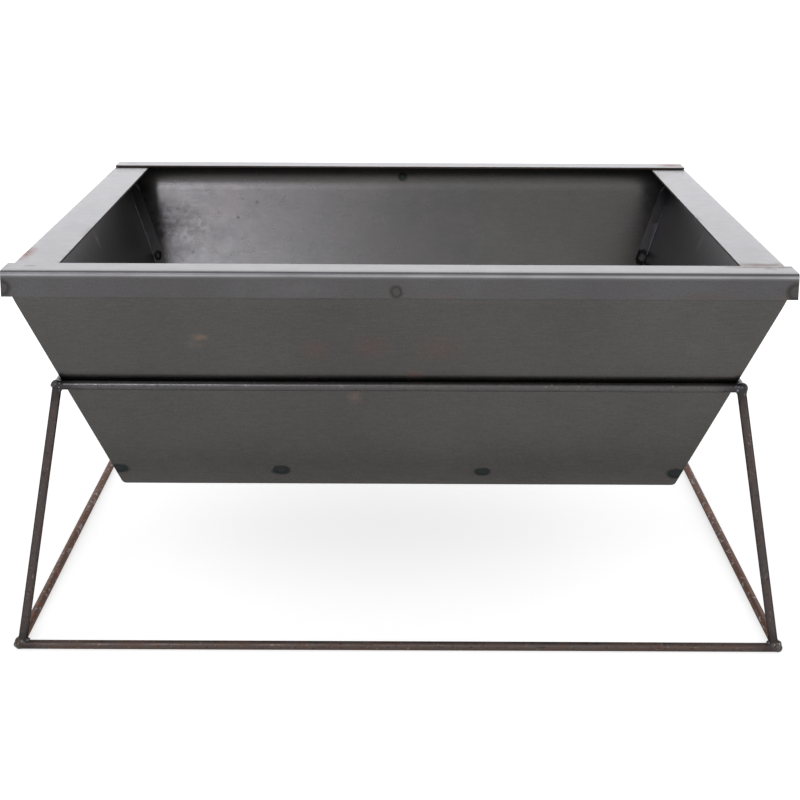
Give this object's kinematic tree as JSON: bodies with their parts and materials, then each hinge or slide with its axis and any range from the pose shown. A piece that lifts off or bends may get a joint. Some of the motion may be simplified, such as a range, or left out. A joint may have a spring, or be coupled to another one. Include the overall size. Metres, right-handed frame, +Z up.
{
  "type": "fire pit",
  "caption": "Square tapered fire pit: a folded raw steel bowl with a wide flat rim, hanging in a welded stand of round rod with splayed legs.",
  "frame": {"origin": "on the ground, under the middle of the stand", "axes": "+Z up, -Y towards the front rim, +X to the right seen from the front"},
  "size_m": [0.6648, 0.6758, 0.331],
  "materials": {
    "sheet": "raw rolled steel, dull, faint rust",
    "rim": "raw rolled steel, satin",
    "rod": "raw drawn rod, light rust",
    "weld": "raw weld metal, heat tinted"
  },
  "bodies": {
    "stand": {"ring_front_rod": "rod", "ring_rear_rod": "rod", "ring_left_rod": "rod", "ring_right_rod": "rod", "leg_front_left": "rod", "leg_front_right": "rod", "leg_rear_left": "rod", "leg_rear_right": "rod", "base_front_rod": "rod", "base_rear_rod": "rod", "base_left_rod": "rod", "base_right_rod": "rod", "ring_weld_front_left": "weld", "ring_weld_front_right": "weld", "ring_weld_rear_left": "weld", "ring_weld_rear_right": "weld", "base_weld_front_left": "weld", "base_weld_front_right": "weld", "base_weld_rear_left": "weld", "base_weld_rear_right": "weld"},
    "bowl": {"front_wall": "sheet", "rear_wall": "sheet", "left_wall": "sheet", "right_wall": "sheet", "bottom_pan": "sheet", "front_rim": "rim", "rear_rim": "rim"}
  },
  "joints": [
    {"name": "bowl_lift", "type": "slide", "parent": "stand", "child": "bowl", "axis": [0, 0, 1], "range_m": [0, 0.125]}
  ]
}
